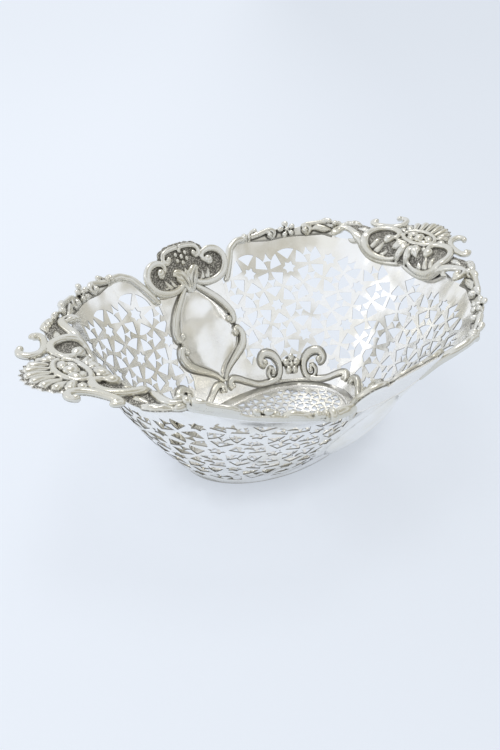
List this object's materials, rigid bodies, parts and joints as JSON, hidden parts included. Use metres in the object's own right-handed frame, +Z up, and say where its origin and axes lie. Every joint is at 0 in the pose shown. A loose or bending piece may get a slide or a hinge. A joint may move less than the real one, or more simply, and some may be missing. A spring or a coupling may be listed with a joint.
{
  "type": "pierced silver basket",
  "caption": "Oval flaring table basket with pierced walls, cartouche panels, scrolled and flowered cast rim, shell ends and a pierced flat base.",
  "frame": {"origin": "on the resting plane, under the middle of the oval base", "axes": "+Z up, out of the basket; X along its long axis, from shell to shell; Y across, from crest to crest"},
  "size_m": [0.2998, 0.1964, 0.0994],
  "materials": {
    "silver_sheet": "polished, lightly worn",
    "silver_cast": "polished on the high parts, dark in the recesses"
  },
  "bodies": {
    "root": {"base_plate": "silver_sheet", "pierced_wall_right": "silver_sheet", "pierced_wall_left": "silver_sheet", "cartouche_panel_back": "silver_sheet", "cartouche_panel_front": "silver_sheet", "cartouche_frame_back": "silver_cast", "cartouche_frame_front": "silver_cast", "crest_back": "silver_cast", "crest_front": "silver_cast", "rim_border_back_right": "silver_cast", "rim_border_back_left": "silver_cast", "rim_border_front_right": "silver_cast", "rim_border_front_left": "silver_cast", "base_border_back_right": "silver_cast", "base_border_back_left": "silver_cast", "base_border_front_right": "silver_cast", "base_border_front_left": "silver_cast", "end_mount_right": "silver_cast", "end_mount_left": "silver_cast"}
  },
  "joints": []
}
